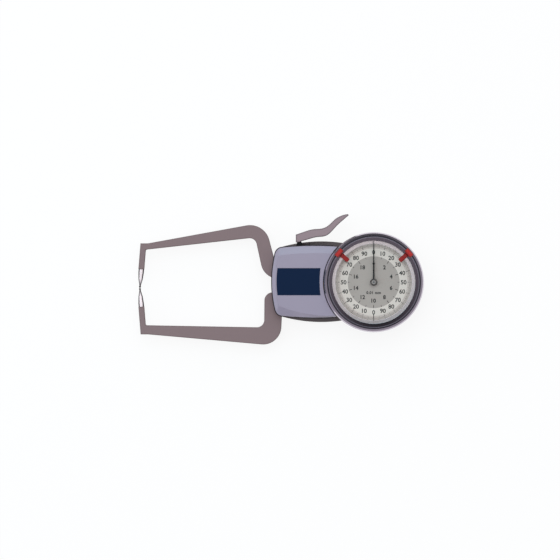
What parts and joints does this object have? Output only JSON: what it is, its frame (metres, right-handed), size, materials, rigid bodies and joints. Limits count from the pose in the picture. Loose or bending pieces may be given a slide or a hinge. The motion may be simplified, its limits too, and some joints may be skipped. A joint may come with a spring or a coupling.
{
  "type": "external caliper gauge",
  "caption": "External dial caliper gauge: two bent arms with fine ball contacts, a barrel housing with a thumb lever, and a round dial with tolerance markers.",
  "frame": {"origin": "on the dial's axis, in the plane of the housing's back, on which the gauge lies", "axes": "+X from the contacts to the dial, +Y to the side of the thumb lever, +Z out of the dial"},
  "size_m": [0.1942, 0.0888, 0.0284],
  "materials": {
    "housing_paint": "satin paint",
    "back_paint": "satin dark grey paint",
    "arm_alloy": "matt anodised",
    "contact_steel": "ground and polished",
    "bezel_alloy": "turned, dark inner slope",
    "label_navy": "satin, bare",
    "screw_steel": "turned",
    "bearing_steel": "ground",
    "movement_brass": "satin",
    "arbor_steel": "polished",
    "spring_steel": "blued",
    "lever_alloy": "satin",
    "stem_steel": "blackened",
    "grommet_rubber": "matt",
    "dial_enamel": "printed enamel",
    "carrier_alloy": "turned",
    "crystal_glass": "clear polished",
    "hand_black": "satin black",
    "hub_steel": "turned",
    "marker_red": "semi-gloss"
  },
  "bodies": {
    "housing": {"rear_housing": "back_paint", "front_cover": "housing_paint", "name_plate": "label_navy", "cover_screws": "screw_steel", "arm_screws": "screw_steel", "fixed_arm": "arm_alloy", "fixed_contact": "contact_steel", "lower_bearing": "bearing_steel", "upper_bearing": "bearing_steel", "lower_plate": "movement_brass", "upper_plate": "movement_brass", "pillars": "movement_brass", "plate_screws": "screw_steel", "return_spring": "spring_steel", "hairspring": "spring_steel", "retaining_ring": "bearing_steel"},
    "moving_arm": {"moving_arm": "arm_alloy", "moving_contact": "contact_steel", "arm_shaft": "bearing_steel", "spring_pin": "bearing_steel", "sector_gear": "movement_brass", "lever": "lever_alloy", "lever_stem": "stem_steel", "stem_grommet": "grommet_rubber", "slot_shutter": "stem_steel"},
    "transfer": {"transfer_arbor": "arbor_steel", "transfer_wheel": "movement_brass", "motion_wheel": "movement_brass"},
    "short_hand": {"hour_wheel": "movement_brass", "short_hand": "hand_black"},
    "long_hand": {"centre_arbor": "arbor_steel", "long_hand": "hand_black", "hub_cap": "hub_steel"},
    "bezel": {"bezel_ring": "bezel_alloy", "dial_carrier": "carrier_alloy", "dial_plate": "dial_enamel", "crystal_seal": "grommet_rubber", "crystal": "crystal_glass"},
    "marker_left": {"marker_left": "marker_red"},
    "marker_right": {"marker_right": "marker_red"}
  },
  "joints": [
    {"name": "arm_open", "type": "hinge", "parent": "housing", "child": "moving_arm", "pos_m": [-0.05, 0, 0], "axis": [0, 0, -1], "range_deg": [0, 10.5], "stiffness_Nm_per_rad": 0.05, "springref_deg": -114.59, "deforming": ["return_spring"]},
    {"name": "transfer_turn", "type": "hinge", "parent": "housing", "child": "transfer", "pos_m": [-0.00955, -0.01157, 0], "axis": [0, 0, 1], "range_deg": [0, 257.14]},
    {"name": "short_hand_turn", "type": "hinge", "parent": "housing", "child": "short_hand", "pos_m": [0, 0, 0], "axis": [0, 0, -1], "range_deg": [0, 360]},
    {"name": "long_hand_turn", "type": "hinge", "parent": "housing", "child": "long_hand", "pos_m": [0, 0, 0], "axis": [0, 0, -1], "range_deg": [0, 3600], "deforming": ["hairspring"]},
    {"name": "bezel_turn", "type": "hinge", "parent": "housing", "child": "bezel", "pos_m": [0, 0, 0], "axis": [0, 0, 1], "continuous": true},
    {"name": "marker_left_slide", "type": "hinge", "parent": "bezel", "child": "marker_left", "pos_m": [0, 0, 0], "axis": [0, 0, 1], "range_deg": [-40, 120]},
    {"name": "marker_right_slide", "type": "hinge", "parent": "bezel", "child": "marker_right", "pos_m": [0, 0, 0], "axis": [0, 0, -1], "range_deg": [-40, 120]}
  ],
  "couplings": [
    {"joint": "transfer_turn", "follows": "arm_open", "ratio": 24.5},
    {"joint": "short_hand_turn", "follows": "arm_open", "ratio": 34.3},
    {"joint": "long_hand_turn", "follows": "arm_open", "ratio": 343}
  ]
}
